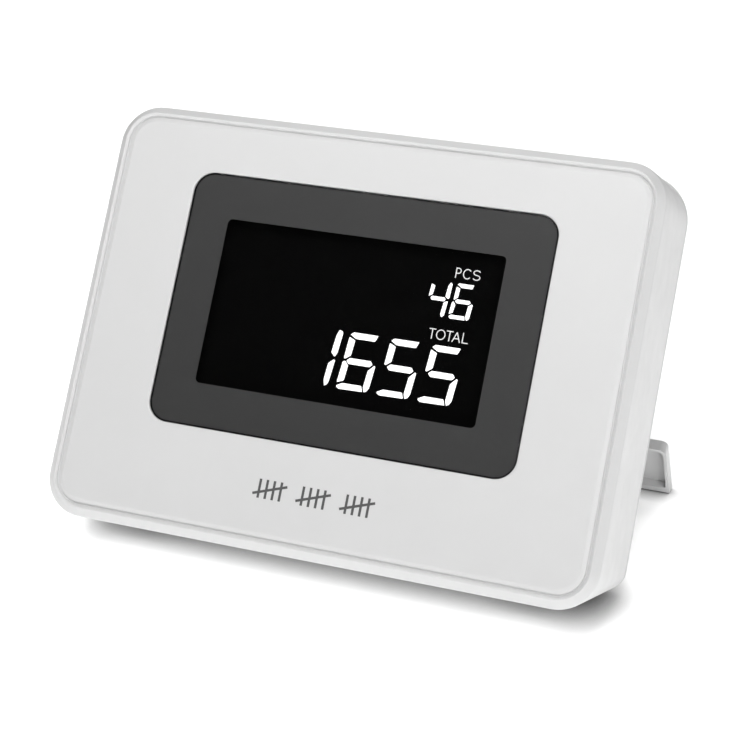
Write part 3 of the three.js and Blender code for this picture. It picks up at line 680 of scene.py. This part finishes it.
# ------------------------------------------------------------------ data socket
jack = to_object("data_socket_body", round_block(SOCKET_X - 8, SOCKET_X + 8, SOCKET_Y - 7, SOCKET_Y + 7, -30.6, -14.05, 0.4, 3))
boolean(
    jack,
    ("DIFFERENCE", round_block(SOCKET_X - 5, SOCKET_X + 5, SOCKET_Y - 4, SOCKET_Y + 4, -31.6, -19, 0.3, 3)),
    ("DIFFERENCE", round_block(SOCKET_X - 3.1, SOCKET_X + 3.1, SOCKET_Y - 5.6, SOCKET_Y - 3, -31.6, -23, 0.3, 3)),
)
soften(jack, 0.22, 2)
place(jack, UNIT, "display_unit", BLACK, "black_plastic", "data_socket")

# ------------------------------------------------------------------ stand
lean = OPEN - TILT
reach = FACE_HEIGHT + HINGE_Y * math.cos(TILT) + HINGE_Z * math.sin(TILT)
zf, zb = STAND_FRONT, -STAND_BACK


def foot_y(z, lift):
    return -(reach - lift - z * math.sin(lean)) / math.cos(lean)


bar_top = -(STAND_L - BAR_H)
low = -STAND_L - 3
slope = (BAR_HALF_FOOT - BAR_HALF_TOP) / BAR_H
right = [(BAR_HALF_TOP + slope * (bar_top - low), low)]
for i in range(13):
    a = math.radians(90 * i / 12)
    right.append((BAR_HALF_TOP - 2.0 + 2.0 * math.cos(a), bar_top - 2.0 + 2.0 * math.sin(a)))
fillet = 3.5
for i in range(9):
    a = math.radians(270 - 90 * i / 8)
    right.append((LEG_HALF + fillet + fillet * math.cos(a), bar_top + fillet + fillet * math.sin(a)))
right.append((LEG_HALF, 0.0))
tee = right + [(-x, y) for x, y in right[::-1]]
stand = to_object("fold_out_stand_shell", prism(tee, zb, zf))
wall_, floor_ = STAND_WALL, zb + 1.0


def tray(z):
    """Mouth of the hollow in the foot bar, whose ends spread with the bar's own."""
    mouth = ring(-BAR_HALF_TOP + wall_, BAR_HALF_TOP - wall_, foot_y(zf, 0) + 2.1, bar_top - wall_, 0.8, 1.4, z, 8)
    return [(x + math.copysign(slope * (bar_top - y), x), y, z) for x, y, z in mouth]


steps = [
    ("UNION", rod_x(-LEG_HALF, LEG_HALF, 0, 0, 2.85)),
    ("UNION", cuboid(-12, 12, -0.5, 4.05, -2.75, -0.95)),
    ("DIFFERENCE", loft([tray(floor_), tray(zf + 1)])),
]
for sx in (-1, 1):
    a, b = (0.8, LEG_HALF - wall_) if sx > 0 else (-LEG_HALF + wall_, -0.8)
    steps.append(("DIFFERENCE", round_block(a, b, bar_top + 0.6, -5.5, floor_, zf + 1, 1.2)))
steps.append(("DIFFERENCE", slab([(foot_y(zf + 2, STAND_LIFT), zf + 2), (foot_y(zb - 2, STAND_LIFT), zb - 2), (-STAND_L - 12, zb - 2), (-STAND_L - 12, zf + 2)], -90, 90)))
for a in (-52.2, 37.8):
    steps.append(("DIFFERENCE", slab([
        (foot_y(zf - 0.5, STAND_LIFT - 1), zf - 0.5), (foot_y(zb + 0.5, STAND_LIFT - 1), zb + 0.5),
        (foot_y(zb + 0.5, STAND_LIFT + PAD_RECESS), zb + 0.5), (foot_y(zf - 0.5, STAND_LIFT + PAD_RECESS), zf - 0.5)], a, a + 14.4)))
for a, b in ((LEG_HALF - 7.4, LEG_HALF + 1), (-LEG_HALF - 1, -LEG_HALF + 7.4)):
    steps.append(("DIFFERENCE", rod_x(a, b, 0, 0, 1.32, 28)))
boolean(stand, *steps)
soften(stand, 0.24)
place(stand, STAND, "stand", WHITE, "white_plastic", "fold_out_stand")

for side, a in (("left", -52), ("right", 38)):
    pad = to_object("stand_pad_soft_" + side, slab([
        (foot_y(zf - 0.7, STAND_LIFT + PAD_RECESS - 0.12), zf - 0.7), (foot_y(zb + 0.7, STAND_LIFT + PAD_RECESS - 0.12), zb + 0.7),
        (foot_y(zb + 0.7, 0), zb + 0.7), (foot_y(zf - 0.7, 0), zf - 0.7)], a, a + 14))
    soften(pad, 0.22, 2)
    place(pad, STAND, "stand", RUBBER, "rubber", "stand_pad_" + side)

# ------------------------------------------------------------------ feet under the housing
for side in ("left", "right"):
    lo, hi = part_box("foot_pad_" + side)
    foot = bpy.data.objects.new("foot_pad_soft_" + side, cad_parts["foot_pad_" + side].data.copy())
    bpy.context.scene.collection.objects.link(foot)
    foot.data.transform(Matrix.Scale(1000, 4))
    soften(foot, 0.45, 3, 25)
    place(foot, ROW, "display_unit", RUBBER, "rubber", "foot_pad_" + side)

# ------------------------------------------------------------------ floor with painted contact shadow, light and camera
floor = bmesh.new()
steps_n = 48
for r in (2.4,):
    floor.faces.new([floor.verts.new((r * math.cos(2 * math.pi * i / steps_n), r * math.sin(2 * math.pi * i / steps_n), 0)) for i in range(steps_n)])
ground = to_object("studio_floor", floor)
gm = bpy.data.materials.new("paper_floor_painted_contact_shadow")
gm.use_nodes = True
gp = gm.node_tree.nodes["Principled BSDF"]
gp.inputs["Roughness"].default_value = 0.9
gp.inputs["Specular IOR Level"].default_value = 0.0
gn = gm.node_tree.nodes.new("ShaderNodeTexNoise")
gn.inputs["Scale"].default_value = 30
gr = gm.node_tree.nodes.new("ShaderNodeMapRange")
gr.inputs["To Min"].default_value = 0.9
gr.inputs["To Max"].default_value = 0.94
gm.node_tree.links.new(gn.outputs["Fac"], gr.inputs["Value"])
gc = gm.node_tree.nodes.new("ShaderNodeCombineColor")
for i in range(3):
    gm.node_tree.links.new(gr.outputs["Result"], gc.inputs[i])
# Painted contact shadow: ambient occlusion within 8.8 mm, raised to the power 1.35, darkens the floor's colour under
# and beside the unit and the stand.
painted_shadow_ao = gm.node_tree.nodes.new("ShaderNodeAmbientOcclusion")
painted_shadow_ao.inputs["Distance"].default_value = 0.0088
painted_shadow_ao.samples = 16
painted_shadow_curve = gm.node_tree.nodes.new("ShaderNodeMath")
painted_shadow_curve.operation = "POWER"
painted_shadow_curve.inputs[1].default_value = 1.35
gm.node_tree.links.new(painted_shadow_ao.outputs["AO"], painted_shadow_curve.inputs[0])
gs = gm.node_tree.nodes.new("ShaderNodeVectorMath")
gs.operation = "SCALE"
gm.node_tree.links.new(gc.outputs["Color"], gs.inputs[0])
gm.node_tree.links.new(painted_shadow_curve.outputs["Value"], gs.inputs["Scale"])
gm.node_tree.links.new(gs.outputs["Vector"], gp.inputs["Base Color"])
gp.inputs["Emission Color"].default_value = (1, 1, 1, 1)
gp.inputs["Emission Strength"].default_value = 0.0
ground.data.materials.append(gm)

# Softboxes: name, direction they shine from (azimuth from -Y towards +X, elevation), distance, size, watts, floor only.
LIGHTS = [
    ("high_front", -15, 66, 1.4, 0.9, 15.0, False),
    ("front_right", 42, 20, 1.5, 0.9, 9.4, False),
    ("back", 180, 40, 1.5, 1.2, 6.2, False),
    ("back_left", -140, 30, 1.5, 1.0, 2.1, False),
    ("paper_front_low", 12, 10, 3.0, 1.6, 350.0, True),
    ("paper_back", 180, 60, 1.4, 0.7, 2.8, True),
]
paper = bpy.data.collections.new("paper")
paper.objects.link(ground)
for name, az, el, dist, size, watts, paper_only in LIGHTS:
    a, e = math.radians(az), math.radians(el)
    lamp = bpy.data.lights.new(name, "AREA")
    lamp.shape, lamp.size, lamp.energy = "SQUARE", size, watts
    ob = bpy.data.objects.new(name, lamp)
    bpy.context.scene.collection.objects.link(ob)
    direction = Vector((math.sin(a) * math.cos(e), -math.cos(a) * math.cos(e), math.sin(e)))
    ob.location = Vector((0, 0, 0.05)) + direction * dist
    ob.rotation_euler = direction.to_track_quat("Z", "Y").to_euler()
    if paper_only:
        ob.light_linking.receiver_collection = paper
world = bpy.data.worlds.new("studio")
world.use_nodes = True
world.node_tree.nodes["Background"].inputs["Color"].default_value = (1, 1, 1, 1)
world.node_tree.nodes["Background"].inputs["Strength"].default_value = 0.01
bpy.context.scene.world = world
bpy.context.scene.view_settings.view_transform = "Standard"

cam = bpy.data.cameras.new("camera")
cam.lens, cam.sensor_width, cam.clip_start = 82.306, 36, 0.01
eye = bpy.data.objects.new("camera", cam)
bpy.context.scene.collection.objects.link(eye)
right_v, up_v, back_v = Vector((0.94462, 0.32650, 0.03295)), Vector((-0.15164, 0.34526, 0.92618)), Vector((0.29102, -0.87988, 0.37565))
rot = Matrix((right_v, up_v, back_v)).transposed().to_4x4()
eye.matrix_world = Matrix.Translation(CAMERA / 1000) @ rot
bpy.context.scene.camera = eye
